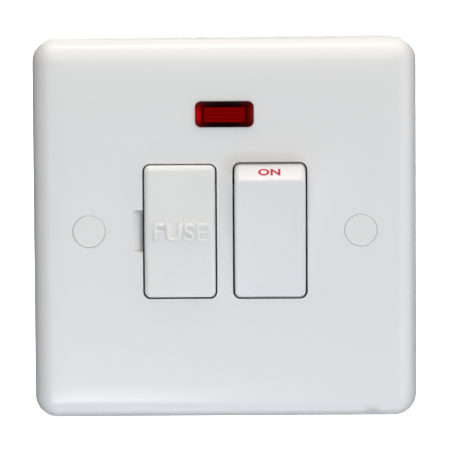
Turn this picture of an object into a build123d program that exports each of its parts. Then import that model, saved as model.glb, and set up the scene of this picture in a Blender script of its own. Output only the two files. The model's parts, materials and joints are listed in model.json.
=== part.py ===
from build123d import *
import os
from math import cos, radians, sin, sqrt

os.makedirs("parts", exist_ok=True)

# Switched fused connection unit for a single wall box, in millimetres.
# X runs to the right as seen from the room, Z up and Y into the wall.
# The origin is the middle of the plate, on the wall plane that its rim rests on.

# Face plate
plate_size = 85.0
plate_depth = 9.5
plate_wall = 2.4
rim_wall = 2.2
plate_corner = 5.0
plate_edge = 4.3
hollow_edge = 1.2
rib_thickness = 1.4
rib_height = 3.6
cross_rib_z = 36.5

# Fixing screws and the caps over their heads
fixing_pitch = 60.3
fixing_thread = 3.5
fixing_neck = 3.1
fixing_length = 25.0
fixing_clearance = 0.35
fixing_head = 6.4
fixing_head_height = 2.4
fixing_slot = 1.0
fixing_slot_depth = 1.1
cap_diameter = 7.2
cap_thickness = 1.7
cap_wall = 0.8
cap_edge = 0.25
cap_gap = 0.08
cap_seat = 0.1
boss_wall = 1.05
boss_setback = 0.6

# Fuse carrier, a drawer that pulls out of the plate
carrier_x = -10.0
carrier_width = 15.75
carrier_height = 29.7
carrier_gap = 0.3
carrier_corner = 1.35
carrier_proud = 1.2
carrier_edge = 1.2
carrier_cap_depth = 3.2
carrier_travel = 14.7
carrier_stop_gap = 0.3
leg_width = 10.0
leg_thickness = 1.4
barb_length = 1.5
barb_catch = 0.6
cradle_half = 5.0
cradle_plate = 2.0
cradle_wall = 1.3
cradle_lip = 2.9
lever_slot = 0.9
lever_slot_depth = 0.8
notch_reach = 2.3
notch_height = 9.9
notch_z = -0.3
notch_draft = 30.0
notch_depth = 1.5

# Cartridge fuse
fuse_length = 25.4
fuse_diameter = 6.35
fuse_cap_length = 6.2
fuse_cap_wall = 0.22
fuse_barrel_gap = 0.04
fuse_depth = 10.9
fuse_end_gap = 0.4
cradle_gap = 0.1

# Fuse clips
clip_thickness = 0.6
clip_width = 5.0
clip_gap = 0.14
clip_flare = 0.8
clip_flare_length = 1.6
clip_overreach = 0.2
clip_bend = 0.7

# Switch rocker
rocker_x = 10.0
rocker_width = 15.75
rocker_gap = 0.42
rocker_corner = 1.3
rocker_edge = 0.7
rocker_reach = 16.6
rocker_face = 9.7
rocker_tilt = 8.3
rocker_wall = 1.6
rocker_skirt = 2.0
rocker_room = 0.8
pivot_depth = 7.5
window_corner = 1.6
trunnion_radius = 1.5
trunnion_length = 1.4
trunnion_clearance = 0.06
trunnion_end_gap = 0.42
ear_radius = 3.0
keeper_thickness = 1.0
keeper_gap = 0.1

# Sprung plungers in the rocker, one for each pole
pole_offset = 4.0
plunger_radius = 1.5
plunger_reach = 8.58
plunger_clearance = 0.1
plunger_tail = 0.6
plunger_gap = 0.12
spigot_radius = 0.7
spigot_length = 1.4
barrel_wall = 0.9
barrel_end = 4.4
barrel_floor = 1.3
spring_wire = 0.4
spring_radius = 1.12
spring_turns = 4
spring_end_gap = 0.05

# Moving contacts that rock on a knife edge
contact_tilt = 9.5
contact_width = 4.4
contact_thickness = 1.2
contact_lift = 1.5
contact_upper = 10.8
contact_lower = 7.6
fulcrum_radius = 0.8
fulcrum_clearance = 0.05
tip_radius = 1.5
tip_height = 0.9
tip_dome = 4.0
tip_reach = 9.0
tip_gap = 0.12
fixed_tip_radius = 1.6
fixed_tip_height = 0.6
fixed_tip_edge = 0.2

# Brass straps on the housing's floor
strap_thickness = 1.0
strap_width = 4.4
strap_bend = 1.0
strap_slot_gap = 0.2
strap_tail = 2.4
load_run_width = 3.2
tab_reach = 7.0

# Pillar terminals
block_width = 7.5
block_height = 8.0
block_depth = 10.0
block_edge = 0.5
block_gap = 0.15
wire_radius = 2.2
wire_back = 6.8
outer_terminal_x = 16.5
earth_x = -12.0
earth_pitch = 7.5
clamp_radius = 2.0
clamp_clearance = 0.04
clamp_tip_gap = 0.35
clamp_head_radius = 3.0
clamp_head_height = 2.2
clamp_head_gap = 0.4
clamp_slot = 1.0
clamp_slot_depth = 1.2
clamp_access = 0.4
post_radius = 1.6
post_gap = 0.1

# Rear housing
rocker_side_room = 0.525
strap_side_room = 0.3
barb_room = 0.45
cross_wall = 3.6
end_wall = 2.35
floor_wall = 2.0
side_wall = 0.95
housing_corner = 2.0
housing_edge = 0.8
wire_slot_width = 5.4
housing_screw_z = 12.0
housing_screw_radius = 1.25
housing_screw_clearance = 0.2
housing_screw_head = 2.3
housing_screw_head_height = 1.8
housing_screw_bite = 4.6
pilot_clearance = 0.03
pilot_spare = 0.4
stud_radius = 2.2
stud_length = 6.0
stud_clearance = 0.15
stud_end_gap = 0.1
screw_web = 3.0
head_clearance = 0.35

# Neon indicator
lens_z = 26.2
lens_width = 12.9
lens_height = 5.7
lens_corner = 1.3
lens_gap = 0.06
lens_proud = 0.7
lens_bevel = 0.6
lens_bevel_drop = 0.25
lens_front = 1.5
lens_flange = 1.0
lens_flange_width = 1.05
lens_flange_height = 0.85
lens_pocket_width = 9.8
lens_pocket_height = 3.6
lens_pocket_corner = 0.6
lens_rib = 0.35
lens_rib_pitch = 1.0
lens_rib_count = 3
flange_gap = 0.1
lamp_radius = 2.0
lamp_length = 10.6
lamp_glass = 0.4
lamp_pinch = 2.0
lamp_set_back = 0.5
lamp_room = 0.9
lamp_seat_gap = 0.1
electrode_radius = 0.35
electrode_offset = 0.6
electrode_length = 6.0
resistor_radius = 1.0
resistor_length = 4.0
resistor_room = 0.3
resistor_end_gap = 1.0
resistor_edge = 0.3
lead_radius = 0.3
lead_bend = 0.7
lead_room = 0.25
lead_stub = 0.9
lead_drop = 1.9

# Planes that the pieces stack up on, from the room into the wall
sides = (-1, 1)
face_y = -plate_depth
inner_y = face_y + plate_wall
seat_y = face_y + cap_thickness + cap_seat + fixing_head_height
thread_y = -boss_setback / 2
pivot_y = face_y + pivot_depth
knife_y = pivot_y + plunger_reach + plunger_gap + contact_lift
tip_center_back = contact_thickness - contact_lift + tip_height - tip_dome
tip_front_y = (
    knife_y
    + tip_center_back * cos(radians(contact_tilt))
    + tip_reach * sin(radians(contact_tilt))
    + tip_dome
)
strap_y = tip_front_y + tip_gap + fixed_tip_height
floor_y = strap_y + strap_thickness
housing_rear = floor_y + floor_wall
block_front_y = floor_y - block_depth
wire_y = floor_y - wire_back
fuse_y = face_y + fuse_depth
carrier_back = face_y - carrier_proud + carrier_cap_depth
barb_y = inner_y + carrier_travel + carrier_stop_gap
leg_end = barb_y + barb_length
stud_end_y = inner_y + stud_length
web_y = stud_end_y + stud_end_gap
head_y = web_y + screw_web

# Places across the plate
fixing_places = [(side * fixing_pitch / 2, 0) for side in sides]
hollow_size = plate_size - 2 * rim_wall
boss_radius = cap_diameter / 2 + cap_gap + boss_wall
window_width = carrier_width + 2 * carrier_gap
window_height = carrier_height + 2 * carrier_gap
rocker_window = rocker_width + 2 * rocker_gap
rocker_chamber = 2 * (rocker_reach + rocker_room)
leg_inner = fuse_length / 2 + fuse_end_gap
barb_top = window_height / 2 + barb_catch
fuse_chamber = 2 * (barb_top + barb_room)
block_inner_z = rocker_chamber / 2 + cross_wall
block_z = block_inner_z + block_height / 2
housing_height = 2 * (block_inner_z + block_height + block_gap + end_wall)
rocker_chamber_x = rocker_width / 2 + rocker_side_room
fuse_chamber_x = outer_terminal_x + load_run_width / 2 + strap_side_room + carrier_x
chamber_edge = max(rocker_x + rocker_chamber_x, fuse_chamber_x - carrier_x)
housing_screw_x = chamber_edge + side_wall + stud_radius + stud_clearance
housing_width = 2 * (housing_screw_x + stud_radius + stud_clearance + side_wall)
housing_screw_places = [(i * housing_screw_x, j * housing_screw_z) for i in sides for j in sides]
line_x = rocker_x - pole_offset
neutral_x = rocker_x + pole_offset
contact_z = tip_reach * cos(radians(contact_tilt)) - tip_center_back * sin(radians(contact_tilt))
clip_z = fuse_length / 2 - fuse_cap_length / 2
earth_places = [(earth_x + side * earth_pitch / 2, -block_z) for side in sides]
line_in_place = (line_x, -block_z)
neutral_in_place = (outer_terminal_x, -block_z)
line_out_place = (-outer_terminal_x, block_z)
neutral_out_place = (outer_terminal_x, block_z)
clamp_places = [line_in_place, neutral_in_place, line_out_place, neutral_out_place, *earth_places]


def wall_plane(y):
    # Plane parallel to the wall at depth y, with its normal towards the room
    return Plane.XZ.offset(-y)


def tilted_plane(x, y, angle):
    # Side view plane through a hinge axis, with its own x axis pointing into the wall
    turn = radians(angle)
    return Plane(origin=(x, y, 0), x_dir=(0, cos(turn), sin(turn)), z_dir=(1, 0, 0))


def across(plane, along, up=0):
    # Plane square to a tilted plane's own x axis, a distance along and up it
    origin = plane.origin + plane.x_dir * along + plane.y_dir * up
    return Plane(origin=origin, x_dir=plane.z_dir, z_dir=plane.x_dir)


def on_arc(radius, along, side):
    # Point of a circle about the origin, given its place along the x axis
    return (along, side * sqrt(radius**2 - along**2))


def save(builder, name):
    builder.part.label = name
    export_step(builder.part, f"parts/{name}.step")


# Face plate: a shallow moulded tray with windows, bosses and ribs
with BuildPart() as front_plate:
    with BuildSketch(wall_plane(0)):
        RectangleRounded(plate_size, plate_size, plate_corner)
    extrude(amount=plate_depth)
    fillet(front_plate.faces().sort_by(Axis.Y)[0].edges(), plate_edge)
    with BuildSketch(wall_plane(0)):
        RectangleRounded(hollow_size, hollow_size, plate_corner - rim_wall)
    extrude(amount=-inner_y, mode=Mode.SUBTRACT)
    fillet(front_plate.faces().filter_by(Axis.Y).sort_by(Axis.Y)[1].edges(), hollow_edge)

    # Bosses round the fixing screws, with a rib from each to the rim
    with BuildSketch(wall_plane(-boss_setback)):
        with Locations(*fixing_places):
            Circle(boss_radius)
    extrude(amount=-boss_setback - inner_y)
    with BuildSketch(wall_plane(inner_y + rib_height)):
        with Locations(*[(side * (fixing_pitch + hollow_size) / 4, 0) for side in sides]):
            Rectangle((hollow_size - fixing_pitch) / 2, rib_thickness)
        with Locations(*[(0, side * cross_rib_z) for side in sides]):
            Rectangle(hollow_size, rib_thickness)
    extrude(amount=rib_height)

    # Studs for the housing screws, and posts that hold the terminals down
    with BuildSketch(wall_plane(stud_end_y)):
        with Locations(*housing_screw_places):
            Circle(stud_radius)
    extrude(amount=stud_length)
    with BuildSketch(wall_plane(block_front_y - post_gap)):
        with Locations(*clamp_places):
            Circle(post_radius)
    extrude(amount=block_front_y - post_gap - inner_y)

    # Keepers that close the rocker's bearing slots
    keeper_y = pivot_y - trunnion_radius - trunnion_clearance
    keeper_x = rocker_width / 2 + trunnion_length - keeper_thickness / 2
    with BuildSketch(wall_plane(keeper_y)):
        with Locations(*[(rocker_x + side * keeper_x, 0) for side in sides]):
            Rectangle(keeper_thickness, 2 * (trunnion_radius - keeper_gap))
    extrude(amount=keeper_y - inner_y)

    # Holes for the screws, with the recess that the caps push into
    with BuildSketch(wall_plane(0)):
        with Locations(*fixing_places):
            Circle(fixing_thread / 2 + fixing_clearance)
    extrude(amount=plate_depth, mode=Mode.SUBTRACT)
    with BuildSketch(wall_plane(seat_y)):
        with Locations(*fixing_places):
            Circle(cap_diameter / 2 + cap_gap)
    extrude(amount=seat_y - face_y, mode=Mode.SUBTRACT)
    with BuildSketch(wall_plane(stud_end_y)):
        with Locations(*housing_screw_places):
            Circle(housing_screw_radius + pilot_clearance)
    extrude(amount=stud_end_gap + housing_screw_bite + pilot_spare, mode=Mode.SUBTRACT)

    # Windows for the fuse carrier and the lens
    with BuildSketch(wall_plane(inner_y)):
        with Locations((carrier_x, 0)):
            RectangleRounded(window_width, window_height, carrier_corner + carrier_gap)
        with Locations((0, lens_z)):
            RectangleRounded(lens_width + 2 * lens_gap, lens_height + 2 * lens_gap, lens_corner + lens_gap)
    extrude(amount=plate_wall, mode=Mode.SUBTRACT)

    # Lever notch beside the carrier, where the face rolls down to the window between sloping ends
    notch_x = carrier_x - window_width / 2
    with BuildPart(mode=Mode.PRIVATE) as notch:
        with BuildSketch(wall_plane(face_y)):
            with Locations((notch_x, notch_z)):
                Rectangle(2 * notch_reach, notch_height)
        extrude(amount=-notch_depth, taper=notch_draft)
        with BuildSketch(Plane.XY.offset(notch_z - notch_height / 2)):
            with BuildLine():
                Polyline(
                    (notch_x, face_y + notch_depth),
                    (notch_x, face_y),
                    (notch_x - notch_reach, face_y),
                )
                TangentArc((notch_x - notch_reach, face_y), (notch_x, face_y + notch_depth), tangent=(1, 0))
            make_face()
        extrude(amount=notch_height, mode=Mode.INTERSECT)
    add(notch.part, mode=Mode.SUBTRACT)

    # Window for the rocker, flared inwards along the sweep of its ends
    with BuildSketch(Plane.YZ.offset(rocker_x - rocker_window / 2)):
        with Locations((pivot_y, 0)):
            Circle(rocker_reach + rocker_gap)
    extrude(amount=rocker_window, mode=Mode.SUBTRACT)
    fillet(front_plate.edges(Select.LAST).filter_by(GeomType.CIRCLE), window_corner)
save(front_plate, "front_plate")

# Push-in caps over the fixing screws
for name, place in zip(("left", "right"), fixing_places):
    with BuildPart() as screw_cap:
        with BuildSketch(wall_plane(face_y + cap_thickness)):
            with Locations(place):
                Circle(cap_diameter / 2)
        extrude(amount=cap_thickness)
        fillet(screw_cap.edges().sort_by(Axis.Y)[0], cap_edge)
        with BuildSketch(wall_plane(face_y + cap_thickness)):
            with Locations(place):
                Circle(cap_diameter / 2 - cap_wall)
        extrude(amount=cap_thickness - cap_wall, mode=Mode.SUBTRACT)
    save(screw_cap, f"screw_cap_{name}")

# Screws that hold the unit to its wall box, with a plain neck in the boss and the thread behind it
with BuildPart() as fixing_screws:
    with BuildSketch(wall_plane(seat_y + fixing_length)):
        with Locations(*fixing_places):
            Circle(fixing_thread / 2)
    extrude(amount=seat_y + fixing_length - thread_y)
    with BuildSketch(wall_plane(thread_y)):
        with Locations(*fixing_places):
            Circle(fixing_neck / 2)
    extrude(amount=thread_y - seat_y)
    with BuildSketch(wall_plane(seat_y)):
        with Locations(*fixing_places):
            Circle(fixing_head / 2)
    extrude(amount=fixing_head_height)
    with BuildSketch(wall_plane(seat_y - fixing_head_height + fixing_slot_depth)):
        with Locations(*fixing_places):
            Rectangle(fixing_head, fixing_slot)
    extrude(amount=fixing_slot_depth, mode=Mode.SUBTRACT)
save(fixing_screws, "fixing_screws")

# Housing: a deep moulded box with chambers that open towards the plate
lamp_y = inner_y + lens_flange + lamp_set_back + lamp_radius
lamp_floor_y = lamp_y + lamp_radius + lamp_seat_gap
lamp_chamber_x = lamp_length / 2 + lead_stub + lead_room
lamp_chamber_z = lamp_radius + lamp_room
lead_z = lens_z - lamp_chamber_z + lead_radius + lead_room
resistor_z = lens_z + electrode_offset
seat_width = lens_width + 2 * (lens_flange_width + flange_gap)
seat_height = lens_height + 2 * (lens_flange_height + flange_gap)
strap_slots = [
    (line_x, -1, rocker_chamber / 2, strap_width),
    (neutral_x, -1, rocker_chamber / 2, strap_width),
    (neutral_x, 1, rocker_chamber / 2, strap_width),
    (-outer_terminal_x, 1, fuse_chamber / 2, load_run_width),
]
pockets = [
    (line_in_place, block_width),
    (neutral_in_place, block_width),
    (line_out_place, block_width),
    (neutral_out_place, block_width),
    ((earth_x, -block_z), block_width + earth_pitch),
]
with BuildPart() as rear_housing:
    with BuildSketch(wall_plane(housing_rear)):
        RectangleRounded(housing_width, housing_height, housing_corner)
    extrude(amount=housing_rear - inner_y)
    chamfer(rear_housing.faces().sort_by(Axis.Y)[-1].edges(), housing_edge)

    # Switch and fuse chambers, terminal pockets and the slots that join them
    with BuildSketch(wall_plane(floor_y)):
        with Locations((rocker_x, 0)):
            Rectangle(2 * rocker_chamber_x, rocker_chamber)
        with Locations((carrier_x, 0)):
            Rectangle(2 * fuse_chamber_x, fuse_chamber)
        with Locations(((rocker_x + carrier_x) / 2, contact_z)):
            Rectangle(rocker_x - carrier_x, strap_width + 2 * strap_slot_gap)
        for place, width in pockets:
            with Locations(place):
                Rectangle(width + 2 * block_gap, block_height + 2 * block_gap)
        for x, side, start, width in strap_slots:
            with Locations((x, side * (start + block_inner_z) / 2)):
                Rectangle(width + 2 * strap_slot_gap, block_inner_z - start)
    extrude(amount=floor_y - inner_y, mode=Mode.SUBTRACT)

    # Wire entries through the end walls, one for each clamp
    for x, z in clamp_places:
        side = 1 if z > 0 else -1
        with BuildSketch(Plane.XY.offset(side * (housing_height / 2 - end_wall))):
            with Locations((x, wire_y)):
                Circle(wire_slot_width / 2)
            with Locations((x, (wire_y + inner_y) / 2)):
                Rectangle(wire_slot_width, wire_y - inner_y)
        extrude(amount=side * end_wall, mode=Mode.SUBTRACT)
    with BuildSketch(wall_plane(housing_rear)):
        with Locations(*clamp_places):
            Circle(clamp_head_radius + clamp_access)
    extrude(amount=floor_wall, mode=Mode.SUBTRACT)

    # Bearing slots for the rocker's trunnions
    slot_half = trunnion_radius + trunnion_clearance
    slot_reach = rocker_width / 2 + trunnion_length + trunnion_end_gap
    with BuildSketch(Plane.YZ.offset(rocker_x - slot_reach)):
        with Locations((pivot_y, 0)):
            Circle(slot_half)
        with Locations(((pivot_y + inner_y) / 2, 0)):
            Rectangle(pivot_y - inner_y, 2 * slot_half)
    extrude(amount=2 * slot_reach, mode=Mode.SUBTRACT)

    # Sockets for the plate's studs, and the screw holes behind them
    with BuildSketch(wall_plane(web_y)):
        with Locations(*housing_screw_places):
            Circle(stud_radius + stud_clearance)
    extrude(amount=web_y - inner_y, mode=Mode.SUBTRACT)
    with BuildSketch(wall_plane(head_y)):
        with Locations(*housing_screw_places):
            Circle(housing_screw_radius + housing_screw_clearance)
    extrude(amount=screw_web, mode=Mode.SUBTRACT)
    with BuildSketch(wall_plane(housing_rear)):
        with Locations(*housing_screw_places):
            Circle(housing_screw_head + head_clearance)
    extrude(amount=housing_rear - head_y, mode=Mode.SUBTRACT)

    # Seat of the lens flange, and the neon lamp's chamber with its wire channels
    with BuildSketch(wall_plane(inner_y + lens_flange + flange_gap)):
        with Locations((0, lens_z)):
            Rectangle(seat_width, seat_height)
    extrude(amount=lens_flange + flange_gap, mode=Mode.SUBTRACT)
    with BuildSketch(wall_plane(lamp_floor_y)):
        with Locations((0, lens_z)):
            Rectangle(2 * lamp_chamber_x, 2 * lamp_chamber_z)
    extrude(amount=lamp_floor_y - inner_y, mode=Mode.SUBTRACT)
    with BuildSketch(wall_plane(lamp_y + resistor_radius + resistor_room)):
        with Locations((-outer_terminal_x / 2, resistor_z)):
            Rectangle(outer_terminal_x, 2 * (resistor_radius + resistor_room))
    extrude(amount=lamp_y + resistor_radius + resistor_room - inner_y, mode=Mode.SUBTRACT)
    with BuildSketch(wall_plane(lamp_y + lead_radius + lead_room)):
        with Locations((outer_terminal_x / 2, lead_z)):
            Rectangle(outer_terminal_x, 2 * (lead_radius + lead_room))
    extrude(amount=lamp_y + lead_radius + lead_room - inner_y, mode=Mode.SUBTRACT)
save(rear_housing, "rear_housing")

# Self-tapping screws that draw the housing up to the plate
with BuildPart() as housing_screws:
    with BuildSketch(wall_plane(head_y)):
        with Locations(*housing_screw_places):
            Circle(housing_screw_radius)
    extrude(amount=screw_web + stud_end_gap + housing_screw_bite)
    with BuildSketch(wall_plane(head_y + housing_screw_head_height)):
        with Locations(*housing_screw_places):
            Circle(housing_screw_head)
    extrude(amount=housing_screw_head_height)
save(housing_screws, "housing_screws")

# Brass terminals, each with its wire bore and clamp screw hole
terminals = {
    "terminal_supply_line": [line_in_place],
    "terminal_supply_neutral": [neutral_in_place],
    "terminal_load_line": [line_out_place],
    "terminal_load_neutral": [neutral_out_place],
    "terminal_earth": earth_places,
}
for name, places in terminals.items():
    block_x = sum(x for x, z in places) / len(places)
    block_middle = places[0][1]
    with BuildPart() as terminal:
        with BuildSketch(wall_plane(floor_y)):
            with Locations((block_x, block_middle)):
                Rectangle(block_width + (len(places) - 1) * earth_pitch, block_height)
        extrude(amount=block_depth)
        chamfer(terminal.edges().filter_by(Axis.Z), block_edge)
        for x, z in places:
            with BuildSketch(Plane.XY.offset(z - block_height / 2)):
                with Locations((x, wire_y)):
                    Circle(wire_radius)
            extrude(amount=block_height, mode=Mode.SUBTRACT)
        with BuildSketch(wall_plane(floor_y)):
            with Locations(*places):
                Circle(clamp_radius + clamp_clearance)
        extrude(amount=floor_y - wire_y, mode=Mode.SUBTRACT)
    save(terminal, name)

# Clamp screws, reached through the housing's back
with BuildPart() as terminal_screws:
    clamp_seat = floor_y + clamp_head_gap
    clamp_length = clamp_seat - wire_y - wire_radius - clamp_tip_gap
    with BuildSketch(wall_plane(clamp_seat)):
        with Locations(*clamp_places):
            Circle(clamp_radius)
    extrude(amount=clamp_length)
    with BuildSketch(wall_plane(clamp_seat + clamp_head_height)):
        with Locations(*clamp_places):
            Circle(clamp_head_radius)
    extrude(amount=clamp_head_height)
    with BuildSketch(wall_plane(clamp_seat + clamp_head_height)):
        with Locations(*clamp_places):
            Rectangle(2 * clamp_head_radius, clamp_slot)
    extrude(amount=clamp_slot_depth, mode=Mode.SUBTRACT)
save(terminal_screws, "terminal_screws")

# Supply straps: from the terminal along the floor to the knife edge
strap_mid_y = floor_y - strap_thickness / 2
tab_mid_z = block_inner_z - strap_thickness / 2
for name, x in (("strap_supply_line", line_x), ("strap_supply_neutral", neutral_x)):
    with BuildPart() as strap:
        with BuildSketch(Plane.YZ.offset(x - strap_width / 2)):
            with BuildLine():
                FilletPolyline(
                    (strap_mid_y, strap_tail),
                    (strap_mid_y, -tab_mid_z),
                    (floor_y - tab_reach, -tab_mid_z),
                    radius=strap_bend,
                )
            trace(line_width=strap_thickness)
            with Locations((knife_y, 0)):
                Circle(fulcrum_radius)
            with Locations(((knife_y + strap_y) / 2, 0)):
                Rectangle(strap_y - knife_y, 2 * fulcrum_radius)
        extrude(amount=strap_width)
    save(strap, name)

# Load neutral strap: from the fixed contact to its terminal
with BuildPart() as strap_load_neutral:
    with BuildSketch(Plane.YZ.offset(neutral_x - strap_width / 2)):
        with BuildLine():
            FilletPolyline(
                (strap_mid_y, contact_z - strap_width / 2),
                (strap_mid_y, tab_mid_z),
                (floor_y - tab_reach, tab_mid_z),
                radius=strap_bend,
            )
        trace(line_width=strap_thickness)
    extrude(amount=strap_width)
save(strap_load_neutral, "strap_load_neutral")

# Feed strap: from the fixed line contact across to the upper fuse clip
clip_half = fuse_diameter / 2 + clip_gap + clip_thickness
with BuildPart() as strap_fuse_feed:
    feed_start = carrier_x - clip_half
    feed_end = line_x + strap_width / 2
    with BuildSketch(wall_plane(floor_y)):
        with Locations(((feed_start + feed_end) / 2, contact_z)):
            Rectangle(feed_end - feed_start, strap_width)
    extrude(amount=strap_thickness)
save(strap_fuse_feed, "strap_fuse_feed")

# Load line strap: from the lower fuse clip, up beside the upper clip, to its terminal
with BuildPart() as strap_load_line:
    run_edge = -outer_terminal_x - load_run_width / 2
    lower_end = carrier_x + clip_half
    with BuildSketch(wall_plane(floor_y)):
        with Locations(((run_edge + lower_end) / 2, -clip_z)):
            Rectangle(lower_end - run_edge, strap_width)
        with Locations((-outer_terminal_x, (block_inner_z - clip_z) / 2)):
            Rectangle(load_run_width, block_inner_z + clip_z)
    extrude(amount=strap_thickness)
    with BuildSketch(wall_plane(floor_y)):
        with Locations((-outer_terminal_x, tab_mid_z)):
            Rectangle(load_run_width, strap_thickness)
    extrude(amount=tab_reach)
save(strap_load_line, "strap_load_line")

# Silver tips on the two straps that the switch closes on
with BuildPart() as fixed_contact_tips:
    with BuildSketch(wall_plane(strap_y)):
        with Locations((line_x, contact_z), (neutral_x, contact_z)):
            Circle(fixed_tip_radius)
    extrude(amount=fixed_tip_height)
    fillet(fixed_contact_tips.edges().group_by(Axis.Y)[0], fixed_tip_edge)
save(fixed_contact_tips, "fixed_contact_tips")

# Moving contacts and their domed tips, modelled with the switch on
for name, x in (("line", line_x), ("neutral", neutral_x)):
    contact_plane = tilted_plane(x, knife_y, -contact_tilt)
    arm_back = contact_thickness - contact_lift
    with BuildPart() as moving_contact:
        with BuildSketch(contact_plane.offset(-contact_width / 2)):
            with Locations((arm_back - contact_thickness / 2, (contact_upper - contact_lower) / 2)):
                Rectangle(contact_thickness, contact_upper + contact_lower)
            Circle(fulcrum_radius + fulcrum_clearance, mode=Mode.SUBTRACT)
        extrude(amount=contact_width)
    save(moving_contact, f"moving_contact_{name}")

    apex = arm_back + tip_height
    shoulder = apex - tip_dome + sqrt(tip_dome**2 - tip_radius**2)
    with BuildPart() as contact_tip:
        with BuildSketch(contact_plane):
            with BuildLine():
                Polyline(
                    (apex, tip_reach),
                    (arm_back, tip_reach),
                    (arm_back, tip_reach + tip_radius),
                    (shoulder, tip_reach + tip_radius),
                )
                RadiusArc((shoulder, tip_reach + tip_radius), (apex, tip_reach), tip_dome)
            make_face()
        tip_axis = across(contact_plane, 0, tip_reach)
        revolve(axis=Axis(tip_axis.origin, tip_axis.z_dir))
    save(contact_tip, f"contact_tip_{name}")

# Rocker, modelled on: its face leans and its upper flank stands out of the plate
rocker_plane = tilted_plane(rocker_x, pivot_y, rocker_tilt)
inner_face = rocker_wall - rocker_face
inner_reach = rocker_reach - rocker_wall
with BuildPart() as rocker:
    with BuildSketch(rocker_plane.offset(-rocker_width / 2)):
        with BuildLine():
            for side in sides:
                ThreePointArc(
                    on_arc(rocker_reach, -rocker_face, side),
                    on_arc(rocker_reach, -(rocker_face + rocker_skirt) / 2, side),
                    on_arc(rocker_reach, -rocker_skirt, side),
                )
            Line(on_arc(rocker_reach, -rocker_face, -1), on_arc(rocker_reach, -rocker_face, 1))
            Line(on_arc(rocker_reach, -rocker_skirt, -1), on_arc(rocker_reach, -rocker_skirt, 1))
        make_face()
    extrude(amount=rocker_width)
    fillet(rocker.edges().filter_by(GeomType.CIRCLE), rocker_corner)
    fillet(rocker.faces().sort_by(Axis(rocker_plane.origin, rocker_plane.x_dir))[0].edges(), rocker_edge)

    # Hollow back
    with BuildSketch(rocker_plane.offset(rocker_wall - rocker_width / 2)):
        with BuildLine():
            for side in sides:
                ThreePointArc(
                    on_arc(inner_reach, inner_face, side),
                    on_arc(inner_reach, (inner_face - rocker_skirt) / 2, side),
                    on_arc(inner_reach, -rocker_skirt, side),
                )
            Line(on_arc(inner_reach, inner_face, -1), on_arc(inner_reach, inner_face, 1))
            Line(on_arc(inner_reach, -rocker_skirt, -1), on_arc(inner_reach, -rocker_skirt, 1))
        make_face()
    extrude(amount=rocker_width - 2 * rocker_wall, mode=Mode.SUBTRACT)

    # Ears with the trunnions
    for side in sides:
        with BuildSketch(rocker_plane.offset(side * rocker_width / 2)):
            Circle(ear_radius)
            with Locations((-rocker_skirt, 0)):
                Rectangle(2 * rocker_skirt, 2 * ear_radius)
        extrude(amount=-side * rocker_wall)
        with BuildSketch(rocker_plane.offset(side * rocker_width / 2)):
            Circle(trunnion_radius)
        extrude(amount=side * trunnion_length)

    # Barrels for the plungers
    with BuildSketch(across(rocker_plane, inner_face)):
        with Locations((-pole_offset, 0), (pole_offset, 0)):
            Circle(plunger_radius + plunger_clearance + barrel_wall)
    extrude(amount=barrel_end - inner_face)
    with BuildSketch(across(rocker_plane, inner_face + barrel_floor)):
        with Locations((-pole_offset, 0), (pole_offset, 0)):
            Circle(plunger_radius + plunger_clearance)
    extrude(amount=barrel_end - inner_face - barrel_floor, mode=Mode.SUBTRACT)
save(rocker, "rocker")

# Plungers and their springs
for name, offset_x in (("line", -pole_offset), ("neutral", pole_offset)):
    plunger_plane = rocker_plane.offset(offset_x)
    with BuildPart() as plunger:
        with BuildSketch(plunger_plane):
            with BuildLine():
                Polyline(
                    (plunger_reach, 0),
                    (plunger_tail - spigot_length, 0),
                    (plunger_tail - spigot_length, spigot_radius),
                    (plunger_tail, spigot_radius),
                    (plunger_tail, plunger_radius),
                    (plunger_reach - plunger_radius, plunger_radius),
                )
                RadiusArc(
                    (plunger_reach - plunger_radius, plunger_radius), (plunger_reach, 0), plunger_radius
                )
            make_face()
        revolve(axis=Axis(plunger_plane.origin, plunger_plane.x_dir))
    save(plunger, f"plunger_{name}")

    spring_start = inner_face + barrel_floor + spring_wire / 2 + spring_end_gap
    spring_height = plunger_tail - spring_wire / 2 - spring_end_gap - spring_start
    with BuildPart() as plunger_spring:
        with BuildLine() as coil:
            Helix(
                pitch=spring_height / spring_turns,
                height=spring_height,
                radius=spring_radius,
                center=plunger_plane.origin + plunger_plane.x_dir * spring_start,
                direction=plunger_plane.x_dir,
            )
        with BuildSketch(Plane(origin=coil.line @ 0, z_dir=coil.line % 0)):
            Circle(spring_wire / 2)
        sweep(path=coil.line, is_frenet=True)
    save(plunger_spring, f"plunger_spring_{name}")

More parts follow.
